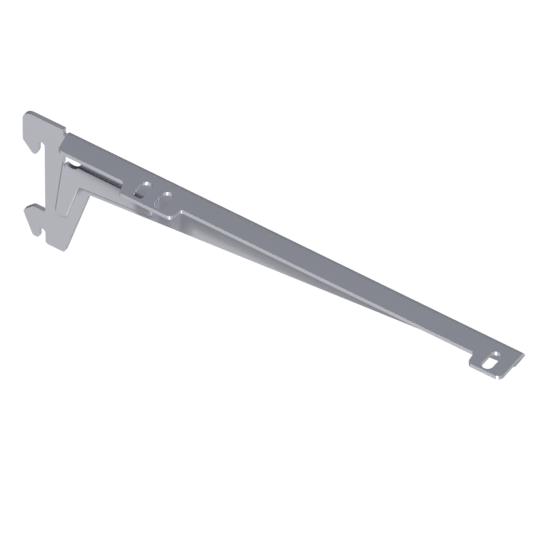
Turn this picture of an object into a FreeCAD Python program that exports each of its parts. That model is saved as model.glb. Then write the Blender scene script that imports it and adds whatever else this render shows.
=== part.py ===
import FreeCAD, Part
import math
import os

# Slotted shelf bracket, folded from one blank of sheet steel. All sizes are in millimetres.
# X runs out from the upright along the arm, Y across it, and Z up. The origin lies on the
# upright's face, level with the shelf flange, on the middle plane of the hook plate.
# A reach is measured along X from the upright, and a depth downwards from the shelf flange.
# A width across the flange is measured from the far face of the web. The lower hook's depths
# and the plate's are measured from one pitch down.

# Sheet and fold
sheet = 2.0
bend_inner_radius = 1.0

# Hooks, at the pitch of the slots in the upright
hook_pitch = 50.0
upright_gap = 3.2
hook_reach = 10.6
hook_top_radius = 4.6
hook_back_depth = 16.4
hook_back_radius = 2.8
hook_tip_reach = 4.8
hook_tip_depth = 23.2
hook_tip_radius = 1.6
hook_cheek_depth = 18.8
hook_cheek_radius = 1.0
hook_gap_top = 13.2
lower_hook_top = 2.7
lower_hook_reach = 10.9
lower_hook_shoulder = 6.1
lower_hook_shoulder_radius = 2.0
lower_hook_back_depth = 7.6
lower_hook_tip_reach = 6.2
lower_hook_tip_depth = 19.4
lower_hook_tip_radius = 1.1
hook_root_radius = 0.5

# Plate behind the upright's face
plate_drop = 20.7
plate_heel_radius = 1.4
plate_foot_reach = 9.1
plate_foot_radius = 1.4

# Arm
throat_reach = 21.4
throat_depth = 30.3
throat_radius = 2.0
arm_reach = 228.8
arm_tip_depth = 10.3
arm_tip_rake = 3.7
arm_tip_radius = 2.6

# Notch that frees the fold from the plate
notch_reach = 9.15
notch_width = 2.35
notch_overrun = 0.2

# Shelf flange, narrow with a wide tab at the screws and another at the tip
narrow_width = 12.0
wide_width = 18.0
flange_start_rake = 1.8
flange_corner_radius = 1.6
flange_tip_radius = 2.6
tab_start = 46.9
tab_start_rake = 1.7
tab_start_radius = 0.9
tab_end_rake = 1.1
tip_tab_length = 15.5
tip_tab_rake = 0.7
tab_radius = 2.0
tab_root_radius = 1.2

# Screw slots across the flange, set out from the tab's start and from the arm's end. The tab
# ends one margin beyond its last slot.
slot_width = 5.0
slot_length = 10.2
slot_middle = 11.8
slot_margin = 7.1
tip_slot_margin = 8.2
slot_spacing = 10.0
tab_end_margin = 7.5

# Stiffening panel, pressed out of the web on the side of the flange
panel_rise = 0.9
panel_flank = 0.55
panel_top_depth = 16.1
panel_back_reach = 8.9
panel_toe_reach = 4.5
panel_toe_margin = 20.8
panel_toe_radius = 3.0
panel_throat_margin = 4.5
panel_arm_margin = 2.5
panel_end_reach = 52.5
panel_corner_radius = 1.8
panel_edge_radius = 0.8

# Punched clearance at the panel's upper corner, round with a lobe beside it
clearance_reach = 13.3
clearance_depth = 14.6
clearance_radius = 4.1
lobe_reach = 9.8
lobe_width = 1.9
lobe_depth = 19.9

# Overrun of a cutter past the faces it goes through, and least length of an edge
cut_overrun = 2.0
least_length = 1e-6

far_face = sheet / 2
near_face = -sheet / 2
bend_outer_radius = bend_inner_radius + sheet
flange_start = notch_reach + notch_width
plate_depth = hook_pitch + plate_drop
tip_tab_start = arm_reach - tip_tab_length
slot_reaches = (
    tab_start + slot_margin,
    tab_start + slot_margin + slot_spacing,
    arm_reach - tip_slot_margin,
)
tab_end = slot_reaches[1] + tab_end_margin


def side_point(reach, depth, y=0.0):
    return FreeCAD.Vector(reach, y, -depth)


def plan_point(reach, width):
    return FreeCAD.Vector(reach, far_face - width, 0.0)


def direction(start, end):
    length = math.dist(start, end)
    return ((end[0] - start[0]) / length, (end[1] - start[1]) / length)


def rounded_wire(corners, place):
    # Each corner is (u, v, radius), rounded by an arc tangent to both of its sides.
    stretches = []
    for index, (u, v, radius) in enumerate(corners):
        before = corners[index - 1][:2]
        after = corners[(index + 1) % len(corners)][:2]
        back = direction((u, v), before)
        ahead = direction((u, v), after)
        half_angle = math.acos(back[0] * ahead[0] + back[1] * ahead[1]) / 2
        room = min(math.dist((u, v), before), math.dist((u, v), after)) / 2
        setback = min(radius / math.tan(half_angle), room)
        radius = setback * math.tan(half_angle)
        start = (u + back[0] * setback, v + back[1] * setback)
        end = (u + ahead[0] * setback, v + ahead[1] * setback)
        bisector = direction((0, 0), (back[0] + ahead[0], back[1] + ahead[1]))
        rise = radius / math.sin(half_angle) - radius
        middle = (u + bisector[0] * rise, v + bisector[1] * rise)
        stretches.append((start, middle, end))
    edges = []
    for index, (start, middle, end) in enumerate(stretches):
        if math.dist(start, end) > least_length:
            edges.append(Part.Arc(place(*start), place(*middle), place(*end)).toShape())
        following = stretches[(index + 1) % len(stretches)][0]
        if math.dist(end, following) > least_length:
            edges.append(Part.LineSegment(place(*end), place(*following)).toShape())
    return Part.Wire(edges)


def arm_edge_depth(reach):
    # The arm's lower edge runs straight from the throat to the tip.
    share = (reach - throat_reach) / (arm_reach - arm_tip_rake - throat_reach)
    return throat_depth + share * (arm_tip_depth - throat_depth)


def web_blank():
    corners = [
        (-hook_reach, 0.0, hook_top_radius),
        (notch_reach, 0.0, 0.0),
        (notch_reach, bend_outer_radius + notch_overrun, 0.0),
        (flange_start, bend_outer_radius + notch_overrun, 0.0),
        (flange_start, bend_outer_radius, 0.0),
        (arm_reach, bend_outer_radius, 0.0),
        (arm_reach - arm_tip_rake, arm_tip_depth, arm_tip_radius),
        (throat_reach, throat_depth, throat_radius),
        (plate_foot_reach, plate_depth, plate_foot_radius),
        (0.0, plate_depth, plate_heel_radius),
    ]
    corners += hook_gap(hook_gap_top + hook_pitch)
    corners += [
        (-upright_gap, hook_pitch + lower_hook_tip_depth, lower_hook_tip_radius),
        (-lower_hook_tip_reach, hook_pitch + lower_hook_tip_depth, lower_hook_tip_radius),
        (-lower_hook_reach, hook_pitch + lower_hook_back_depth, lower_hook_shoulder_radius),
        (-lower_hook_shoulder, hook_pitch + lower_hook_top, lower_hook_shoulder_radius),
        (0.0, hook_pitch + lower_hook_top, hook_root_radius),
    ]
    corners += hook_gap(hook_gap_top)
    corners += [
        (-upright_gap, hook_cheek_depth, hook_cheek_radius),
        (-hook_tip_reach, hook_tip_depth, hook_tip_radius),
        (-hook_reach, hook_back_depth, hook_back_radius),
    ]
    outline = rounded_wire(corners, side_point)
    blank = Part.Face(outline).extrude(FreeCAD.Vector(0, sheet, 0))
    blank.translate(FreeCAD.Vector(0, near_face, 0))
    return blank


def hook_gap(top):
    # The gap behind a hook takes the upright's wall and ends in a half round.
    return [
        (0.0, top, upright_gap / 2),
        (-upright_gap, top, upright_gap / 2),
    ]


def fold():
    # A quarter ring joins the web to the flange.
    centre_y = far_face - bend_outer_radius
    centre_z = -bend_outer_radius
    diagonal = math.sqrt(0.5)

    def ring_point(radius, across, up):
        return FreeCAD.Vector(flange_start, centre_y + radius * across, centre_z + radius * up)

    edges = [
        Part.Arc(
            ring_point(bend_outer_radius, 1, 0),
            ring_point(bend_outer_radius, diagonal, diagonal),
            ring_point(bend_outer_radius, 0, 1),
        ).toShape(),
        Part.LineSegment(
            ring_point(bend_outer_radius, 0, 1), ring_point(bend_inner_radius, 0, 1)
        ).toShape(),
        Part.Arc(
            ring_point(bend_inner_radius, 0, 1),
            ring_point(bend_inner_radius, diagonal, diagonal),
            ring_point(bend_inner_radius, 1, 0),
        ).toShape(),
        Part.LineSegment(
            ring_point(bend_inner_radius, 1, 0), ring_point(bend_outer_radius, 1, 0)
        ).toShape(),
    ]
    return Part.Face(Part.Wire(edges)).extrude(FreeCAD.Vector(arm_reach - flange_start, 0, 0))


def flange():
    corners = [
        (flange_start, bend_outer_radius, 0.0),
        (flange_start + flange_start_rake, narrow_width, flange_corner_radius),
        (tab_start - tab_start_rake, narrow_width, tab_root_radius),
        (tab_start, wide_width, tab_start_radius),
        (tab_end, wide_width, tab_radius),
        (tab_end + tab_end_rake, narrow_width, tab_root_radius),
        (tip_tab_start - tip_tab_rake, narrow_width, tab_root_radius),
        (tip_tab_start, wide_width, tab_radius),
        (arm_reach, wide_width, flange_tip_radius),
        (arm_reach, bend_outer_radius, 0.0),
    ]
    outline = rounded_wire(corners, plan_point)
    return Part.Face(outline).extrude(FreeCAD.Vector(0, 0, -sheet))


def screw_slot(reach):
    near_end = slot_middle + slot_length / 2
    far_end = slot_middle - slot_length / 2
    half = slot_width / 2
    corners = [
        (reach - half, far_end, half),
        (reach + half, far_end, half),
        (reach + half, near_end, half),
        (reach - half, near_end, half),
    ]
    outline = rounded_wire(corners, plan_point)
    cutter = Part.Face(outline).extrude(FreeCAD.Vector(0, 0, -sheet - 2 * cut_overrun))
    cutter.translate(FreeCAD.Vector(0, 0, cut_overrun))
    return cutter


def panel_corners():
    # Each corner is (reach, depth, radius, turn); turn is 1 at the throat's hollow corner.
    throat = (throat_reach, throat_depth)
    along = direction(throat, (plate_foot_reach, plate_depth))
    front_x = throat[0] - along[1] * panel_throat_margin
    front_z = throat[1] + along[0] * panel_throat_margin

    def front_reach(depth):
        return front_x + (depth - front_z) * along[0] / along[1]

    end_depth = arm_edge_depth(panel_end_reach) - panel_arm_margin
    hollow_depth = arm_edge_depth(front_x) - panel_arm_margin
    toe_depth = plate_depth - panel_toe_margin
    return [
        (panel_back_reach, panel_top_depth, panel_corner_radius, -1),
        (panel_end_reach, panel_top_depth, panel_corner_radius, -1),
        (panel_end_reach, end_depth, panel_corner_radius, -1),
        (front_reach(hollow_depth), hollow_depth, panel_corner_radius, 1),
        (front_reach(toe_depth), toe_depth, panel_toe_radius, -1),
        (panel_toe_reach, toe_depth, panel_toe_radius, -1),
    ]


def panel_outline(inset):
    # The panel's outline with every side moved inwards by the inset.
    corners = panel_corners()
    least_radius = panel_flank + sheet / 10
    sides = []
    for index, corner in enumerate(corners):
        following = corners[(index + 1) % len(corners)]
        ux, uz = direction(corner[:2], following[:2])
        sides.append((corner[0] - uz * inset, corner[1] + ux * inset, ux, uz))
    moved = []
    for index, corner in enumerate(corners):
        ax, az, ux, uz = sides[index - 1]
        bx, bz, vx, vz = sides[index]
        step = ((bx - ax) * vz - (bz - az) * vx) / (ux * vz - uz * vx)
        radius = max(corner[2] + corner[3] * inset, least_radius)
        moved.append((ax + ux * step, az + uz * step, radius))
    return moved


def crown_rim(block):
    crown_y = block.BoundBox.YMin
    return [edge for edge in block.Edges if edge.BoundBox.YMax - crown_y < sheet / 100]


def panel_block(inset, base_y, root):
    # A block with sloping flanks that rises from base_y, and has its root behind it.
    def place(reach, depth):
        return side_point(reach, depth, base_y + root)

    outline = rounded_wire(panel_outline(inset), place)
    block = Part.Face(outline).extrude(FreeCAD.Vector(0, -root - panel_rise, 0))
    return block.makeChamfer(panel_rise, panel_flank, crown_rim(block))


def clearance():
    length = sheet + panel_rise + 2 * cut_overrun
    start_y = far_face + cut_overrun
    start = FreeCAD.Vector(clearance_reach, start_y, -clearance_depth)
    hole = Part.makeCylinder(clearance_radius, length, start, FreeCAD.Vector(0, -1, 0))
    half = lobe_width / 2
    corners = [
        (lobe_reach - half, clearance_depth - half, half),
        (lobe_reach + half, clearance_depth - half, half),
        (lobe_reach + half, lobe_depth, half),
        (lobe_reach - half, lobe_depth, half),
    ]
    outline = rounded_wire(corners, side_point)
    lobe = Part.Face(outline).extrude(FreeCAD.Vector(0, -length, 0))
    lobe.translate(FreeCAD.Vector(0, start_y, 0))
    return hole.fuse(lobe)


def bracket():
    body = web_blank().fuse([fold(), flange()])
    raised = panel_block(0.0, near_face, sheet / 2)
    body = body.fuse(raised.makeFillet(panel_edge_radius, crown_rim(raised)))
    # The recess behind the panel lies further in, so that the flanks are as thick as the sheet.
    flank_angle = math.atan2(panel_rise, panel_flank)
    body = body.cut(panel_block(sheet * math.tan(flank_angle / 2), far_face, cut_overrun))
    for reach in slot_reaches:
        body = body.cut(screw_slot(reach))
    body = body.cut(clearance())
    return body.removeSplitter()


os.makedirs("parts", exist_ok=True)
shape = bracket()
print("valid", shape.isValid(), "solids", len(shape.Solids), "volume", round(shape.Volume, 1))
print("box", shape.BoundBox)
shape.exportStep("parts/bracket.step")
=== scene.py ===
import math

import bpy
from mathutils import Matrix, Vector


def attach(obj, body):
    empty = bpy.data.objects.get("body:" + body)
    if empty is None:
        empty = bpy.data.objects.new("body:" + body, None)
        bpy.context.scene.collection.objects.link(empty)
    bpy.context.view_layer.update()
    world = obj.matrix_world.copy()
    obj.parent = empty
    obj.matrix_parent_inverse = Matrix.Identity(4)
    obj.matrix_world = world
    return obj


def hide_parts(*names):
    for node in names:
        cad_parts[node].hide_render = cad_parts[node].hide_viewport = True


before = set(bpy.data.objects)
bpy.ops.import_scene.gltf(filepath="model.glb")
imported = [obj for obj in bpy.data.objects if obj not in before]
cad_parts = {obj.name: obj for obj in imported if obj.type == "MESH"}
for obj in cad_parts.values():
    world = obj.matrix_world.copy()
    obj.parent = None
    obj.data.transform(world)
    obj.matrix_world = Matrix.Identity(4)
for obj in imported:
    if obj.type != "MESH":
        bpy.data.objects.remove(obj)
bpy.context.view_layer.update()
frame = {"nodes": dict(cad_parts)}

print("frame loaded:", ", ".join(frame["nodes"]))


class Wire:  # a wrapped shader socket, so that shader sums read as plain expressions
    def __init__(self, tree, socket=None):
        self.tree = tree
        self.socket = socket

    def node(self, kind, settings=None, inputs=None, output=0):
        made = self.tree.nodes.new(kind)
        for name, value in (settings or {}).items():
            if name == "stops":
                ramp = made.color_ramp
                while len(ramp.elements) < len(value):
                    ramp.elements.new(0.5)
                for element, (place, shade) in zip(ramp.elements, value):
                    element.position = place
                    element.color = shade
            else:
                setattr(made, name, value)
        for name, value in (inputs or {}).items():
            if isinstance(value, Wire):
                self.tree.links.new(value.socket, made.inputs[name])
            else:
                made.inputs[name].default_value = value
        return Wire(self.tree, made.outputs[output] if made.outputs else None)

    def maths(self, operation, first, second):
        return self.node("ShaderNodeMath", {"operation": operation}, {0: first, 1: second})

    def __add__(self, other):
        return self.maths("ADD", self, other)

    def __radd__(self, other):
        return self.maths("ADD", other, self)

    def __sub__(self, other):
        return self.maths("SUBTRACT", self, other)

    def __rsub__(self, other):
        return self.maths("SUBTRACT", other, self)

    def __mul__(self, other):
        return self.maths("MULTIPLY", self, other)

    def __rmul__(self, other):
        return self.maths("MULTIPLY", other, self)


def newMaterial(name):
    material = bpy.data.materials.new(name)
    material.use_nodes = True
    material.node_tree.nodes.clear()
    return material, Wire(material.node_tree)


def smoothStep(value, start, end):  # 0 at start and 1 at end
    return value.node(
        "ShaderNodeMapRange",
        {"interpolation_type": "SMOOTHSTEP"},
        {"Value": value, "From Min": start, "From Max": end},
    )


def alongAxis(place, axis):
    return place.node("ShaderNodeSeparateXYZ", inputs={"Vector": place}, output=axis)


def selectOnly(piece):
    bpy.ops.object.select_all(action="DESELECT")
    piece.select_set(True)
    bpy.context.view_layer.objects.active = piece


# Satin zinc on the folded sheet, with painted shade beneath the flange and a painted shadow beneath
# its wide tab. Lengths are in metres.
# The shade values say where the painted shade dims the colour: each pair is where it starts and where
# it is full.
sheetFinishAndPaintedShade = {
    "colour": (0.53, 0.535, 0.57, 1.0),
    "paleColour": (0.58, 0.585, 0.62, 1.0),
    "metallic": 0.55,
    "roughness": 0.36,
    "roughnessSpread": 0.05,
    "patchScale": 60.0,
    "patchDetail": 3.0,
    "patchShare": 0.5,
    "fleckScale": 2600.0,
    "fleckDetail": 2.0,
    "fleckShare": 0.5,
    "fleckMiddle": 0.5,
    "grainHeight": 0.000012,
    "grainStrength": 0.4,
    "shelterReach": 0.03,
    "shelterSamples": 48,
    "paintedShadeStops": (
        (0.45, (0.9, 0.9, 0.95, 1.0)),
        (0.7, (0.68, 0.69, 0.76, 1.0)),
        (0.89, (0.52, 0.525, 0.57, 1.0)),
        (0.93, (0.75, 0.755, 0.78, 1.0)),
        (0.965, (1.0, 1.0, 1.0, 1.0)),
    ),
    # Where the painted shade lies. The tab values mark the painted shadow beneath the wide tab.
    "paintedShadeReach": (0.010, 0.016),
    "paintedShadeTop": (-0.002, -0.0035),
    "paintedShadeDepth": (-0.036, -0.028),
    "tabShadowStart": (0.041, 0.046),
    "tabShadowEnd": (0.0715, 0.066),
    "tabShadowSide": (0.0, -0.0008),
    "tabShadowShift": 0.05,
}


def satinZincAndPaintedShade():
    material, start = newMaterial("satinZincAndPaintedShade")
    place = start.node("ShaderNodeTexCoord", output="Object")
    patches = place.node(
        "ShaderNodeTexNoise",
        inputs={
            "Vector": place,
            "Scale": sheetFinishAndPaintedShade["patchScale"],
            "Detail": sheetFinishAndPaintedShade["patchDetail"],
        },
    )
    flecks = place.node(
        "ShaderNodeTexNoise",
        inputs={
            "Vector": place,
            "Scale": sheetFinishAndPaintedShade["fleckScale"],
            "Detail": sheetFinishAndPaintedShade["fleckDetail"],
        },
    )
    tone = patches * sheetFinishAndPaintedShade["patchShare"] + flecks * sheetFinishAndPaintedShade["fleckShare"]
    colour = place.node(
        "ShaderNodeMix",
        {"data_type": "RGBA"},
        {"Factor": tone, 6: sheetFinishAndPaintedShade["colour"], 7: sheetFinishAndPaintedShade["paleColour"]},
        output=2,
    )
    # Painted shade: an ambient-occlusion value picks out where the flange shelters the sheet, and the
    # colour is darkened there to stand in for its shade.
    shelter = place.node(
        "ShaderNodeAmbientOcclusion",
        {"samples": sheetFinishAndPaintedShade["shelterSamples"], "only_local": True},
        {"Distance": sheetFinishAndPaintedShade["shelterReach"]},
        output="AO",
    )
    reach, across, height = (alongAxis(place, axis) for axis in "XYZ")
    # Painted shadow of the wide tab: beneath the tab the occlusion value is lowered, so the web there
    # is darkened as if in the tab's shadow.
    tab = smoothStep(reach, *sheetFinishAndPaintedShade["tabShadowStart"]) * smoothStep(reach, *sheetFinishAndPaintedShade["tabShadowEnd"])
    tab = tab * smoothStep(across, *sheetFinishAndPaintedShade["tabShadowSide"])  # painted tab shadow, only on the web's front beneath the tab
    shelter = shelter - tab * sheetFinishAndPaintedShade["tabShadowShift"]
    # The ramp turns the occlusion value into the colour of the painted shade, which is bluish grey
    # where the shade is deepest.
    paintedShade = place.node("ShaderNodeValToRGB", {"stops": sheetFinishAndPaintedShade["paintedShadeStops"]}, {"Fac": shelter})
    shadeZone = smoothStep(reach, *sheetFinishAndPaintedShade["paintedShadeReach"])
    shadeZone = shadeZone * smoothStep(height, *sheetFinishAndPaintedShade["paintedShadeTop"])
    depth = smoothStep(height, *sheetFinishAndPaintedShade["paintedShadeDepth"])
    shadeZone = shadeZone * (depth + tab * (1.0 - depth))
    # The painted shade multiplies the colour along the arm below the flange top, down to a depth, and
    # everywhere on the web beneath the tab.
    shadedColour = place.node(
        "ShaderNodeMix",
        {"data_type": "RGBA", "blend_type": "MULTIPLY"},
        {"Factor": shadeZone, 6: colour, 7: paintedShade},
        output=2,
    )
    spread = (flecks - sheetFinishAndPaintedShade["fleckMiddle"]) * sheetFinishAndPaintedShade["roughnessSpread"]
    roughness = sheetFinishAndPaintedShade["roughness"] + spread
    grain = place.node(
        "ShaderNodeBump",
        inputs={
            "Height": flecks,
            "Distance": sheetFinishAndPaintedShade["grainHeight"],
            "Strength": sheetFinishAndPaintedShade["grainStrength"],
        },
    )
    surface = place.node(
        "ShaderNodeBsdfPrincipled",
        inputs={
            "Base Color": shadedColour,
            "Metallic": sheetFinishAndPaintedShade["metallic"],
            "Roughness": roughness,
            "Normal": grain,
        },
    )
    surface.node("ShaderNodeOutputMaterial", inputs={"Surface": surface})
    return material


# The folded sheet: the CAD mesh, merged and with its sheared edges broken. Lengths are in metres
# and angles in degrees.
sheetEdges = {
    "mergeGap": 0.000002,
    "flatAngle": 0.2,
    "edgeAngle": 32.0,
    "edgeWidth": 0.00022,
    "edgeSegments": 2,
    "smoothAngle": 50.0,
    "normalWeight": 100,
}


def foldedSheet():
    node = frame["nodes"]["bracket"]
    piece = bpy.data.objects.new("foldedSheet", node.data.copy())
    bpy.context.scene.collection.objects.link(piece)
    selectOnly(piece)
    bpy.ops.object.mode_set(mode="EDIT")
    bpy.ops.mesh.select_all(action="SELECT")
    bpy.ops.mesh.remove_doubles(threshold=sheetEdges["mergeGap"])
    bpy.ops.mesh.select_all(action="SELECT")
    bpy.ops.mesh.dissolve_limited(angle_limit=math.radians(sheetEdges["flatAngle"]))
    bpy.ops.object.mode_set(mode="OBJECT")
    bevel = piece.modifiers.new("brokenEdges", "BEVEL")
    bevel.width = sheetEdges["edgeWidth"]
    bevel.segments = sheetEdges["edgeSegments"]
    bevel.limit_method = "ANGLE"
    bevel.angle_limit = math.radians(sheetEdges["edgeAngle"])
    bevel.miter_outer = "MITER_ARC"
    bpy.ops.object.modifier_apply(modifier=bevel.name)
    bpy.ops.object.shade_smooth_by_angle(angle=math.radians(sheetEdges["smoothAngle"]))
    weighted = piece.modifiers.new("flatFaces", "WEIGHTED_NORMAL")  # large faces stay flat
    weighted.keep_sharp = True
    weighted.weight = sheetEdges["normalWeight"]
    bpy.ops.object.modifier_apply(modifier=weighted.name)
    piece.data.materials.clear()
    piece.data.materials.append(satinZincAndPaintedShade())
    return piece


sheetPiece = foldedSheet()
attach(sheetPiece, "root")
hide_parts("bracket")
print("folded sheet:", len(sheetPiece.data.polygons), "faces")


# Pale studio floor, well below the hung bracket. In the sheet's reflections its far left is dark
# and its back is dim.
studioFloor = {
    "size": 24.0,
    "height": -1.2,
    "colour": (0.45, 0.45, 0.45, 1.0),
    "glowColour": (1.0, 1.0, 1.0, 1.0),
    "glow": 1.08,
    "glowShare": 0.92,
    "mirrorShare": 0.92,
    "darkSlant": 0.6,
    "darkLeft": (-0.9, -0.3),
    "dimBehind": (0.2, 0.8),
    "dimShare": 0.45,
}


def paleFloor():
    middle = (0.0, 0.0, studioFloor["height"])
    bpy.ops.mesh.primitive_plane_add(size=studioFloor["size"], location=middle)
    floor = bpy.context.object
    floor.name = "studioFloor"
    material, start = newMaterial("palePaint")
    matt = start.node("ShaderNodeBsdfDiffuse", inputs={"Color": studioFloor["colour"]})
    glow = start.node(
        "ShaderNodeEmission",
        inputs={"Color": studioFloor["glowColour"], "Strength": studioFloor["glow"]},
    )
    seen = start.node("ShaderNodeLightPath", output="Is Camera Ray")
    mirrored = start.node("ShaderNodeLightPath", output="Is Glossy Ray")
    through = start.node("ShaderNodeLightPath", output="Is Transmission Ray")
    place = start.node("ShaderNodeTexCoord", output="Object")
    x, y = alongAxis(place, "X"), alongAxis(place, "Y")
    lit = smoothStep(x - y * studioFloor["darkSlant"], *studioFloor["darkLeft"])
    lit = lit * (1.0 - smoothStep(y, *studioFloor["dimBehind"]) * studioFloor["dimShare"])
    share = seen * studioFloor["glowShare"] + (mirrored + through) * lit * studioFloor["mirrorShare"]
    surface = start.node("ShaderNodeMixShader", inputs={0: share, 1: matt, 2: glow})
    surface.node("ShaderNodeOutputMaterial", inputs={"Surface": surface})
    floor.data.materials.append(material)


bpy.ops.object.select_all(action="DESELECT")
paleFloor()
print("floor laid")


# Soft round lamps: place, size in metres, strength in watts and colour. All aim at one point.
lampAim = (0.1, 0.0, -0.03)
softLamps = {
    "front": ((0.140, -0.764, 1.369), 0.12, 22.5, (0.94, 0.96, 1.05)),
    "low": ((0.4, -0.62, -0.75), 0.3, 2.3, (1.0, 1.0, 1.0)),
    "lowRear": ((0.48, 0.57, -0.75), 0.4, 0.18, (1.0, 1.0, 1.0)),
    "rear": ((0.9, 1.3, 0.1), 0.8, 9.0, (1.0, 1.0, 1.0)),
}
roomLight = {
    "colour": (0.85, 0.88, 1.0, 1.0),
    "strength": 0.06,
    "shownColour": (1.0, 1.0, 1.0, 1.0),
    "shownStrength": 1.0,
}


def lampAt(name, place, size, power, colour):
    bpy.ops.object.light_add(type="AREA", location=place)
    lamp = bpy.context.object
    lamp.name = name
    lamp.data.shape = "DISK"
    lamp.data.size = size
    lamp.data.energy = power
    lamp.data.color = colour
    aim = Vector(lampAim) - Vector(place)
    lamp.rotation_euler = aim.to_track_quat("-Z", "Y").to_euler()


for name, (place, size, power, colour) in softLamps.items():
    lampAt(name, place, size, power, colour)


def lightRoom():  # the camera sees a white room, which gives the sheet only a little light
    world = bpy.data.worlds.new("room")
    world.use_nodes = True
    world.node_tree.nodes.clear()
    bpy.context.scene.world = world
    start = Wire(world.node_tree)
    seen = start.node("ShaderNodeLightPath", output="Is Camera Ray")
    plain = start.node(
        "ShaderNodeBackground",
        inputs={"Color": roomLight["colour"], "Strength": roomLight["strength"]},
    )
    shown = start.node(
        "ShaderNodeBackground",
        inputs={"Color": roomLight["shownColour"], "Strength": roomLight["shownStrength"]},
    )
    sky = start.node("ShaderNodeMixShader", inputs={0: seen, 1: plain, 2: shown})
    sky.node("ShaderNodeOutputWorld", inputs={"Surface": sky})


lightRoom()
print("lamps and room lit")


# The photograph is almost without perspective, so the lens is very long. originPixel is where the
# CAD frame's origin shows in it.
longView = {
    "azimuth": 33.9,
    "elevation": 46.5,
    "lens": 1600.0,
    "sensor": 36.0,
    "pixelsPerMetre": 2510.0,
    "imageSize": 540.0,
    "originPixel": (45.3, 119.2),
    "middle": (0.1, -0.006, -0.03),
    "farthest": 100.0,
}


def placeCamera():
    turn, tilt = math.radians(longView["azimuth"]), math.radians(longView["elevation"])
    right = Vector((math.cos(turn), math.sin(turn), 0.0))
    back = Vector((math.sin(turn) * math.cos(tilt), -math.cos(turn) * math.cos(tilt), math.sin(tilt)))
    up = back.cross(right)
    half = longView["imageSize"] / 2
    across = (half - longView["originPixel"][0]) / longView["pixelsPerMetre"]
    down = (half - longView["originPixel"][1]) / longView["pixelsPerMetre"]
    depth = Vector(longView["middle"]).dot(back)
    frameWidth = longView["imageSize"] / longView["pixelsPerMetre"]
    distance = frameWidth * longView["lens"] / longView["sensor"]
    bpy.ops.object.camera_add()
    camera = bpy.context.object
    camera.name = "longViewCamera"
    camera.data.lens = longView["lens"]
    camera.data.sensor_width = longView["sensor"]
    camera.data.clip_end = longView["farthest"]
    camera.rotation_euler = Matrix((right, up, back)).transposed().to_euler()
    camera.location = right * across - up * down + back * (depth + distance)
    bpy.context.scene.camera = camera


placeCamera()
bpy.context.scene.view_settings.view_transform = "Standard"
print("camera placed")
